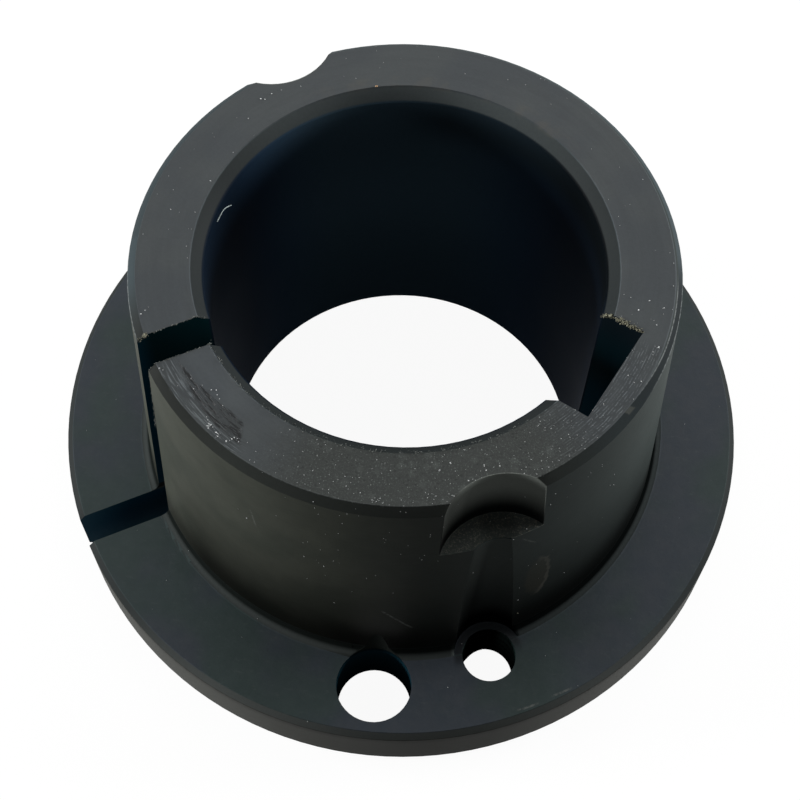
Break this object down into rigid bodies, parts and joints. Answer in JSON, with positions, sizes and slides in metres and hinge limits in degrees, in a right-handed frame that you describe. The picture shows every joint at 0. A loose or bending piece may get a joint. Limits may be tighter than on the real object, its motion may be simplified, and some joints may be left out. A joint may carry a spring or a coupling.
{
  "type": "taper bush",
  "caption": "Split, keyed taper bush with a drilled flange, pulled into a tapered hub by screws to grip a shaft.",
  "frame": {"origin": "on the bore axis, at the flat back face of the flange", "axes": "+Z along the bore from the flange to the nose at the small end of the taper; the two plain screw holes lie on the Y axis, and the keyway is on the +X, -Y side"},
  "size_m": [0.068, 0.068, 0.036],
  "materials": {
    "bush_steel": "machined all over, blackened and lightly oiled, satin; turning lines and dust on the nose face"
  },
  "bodies": {
    "root": {"taper_bush": "bush_steel"}
  },
  "joints": []
}
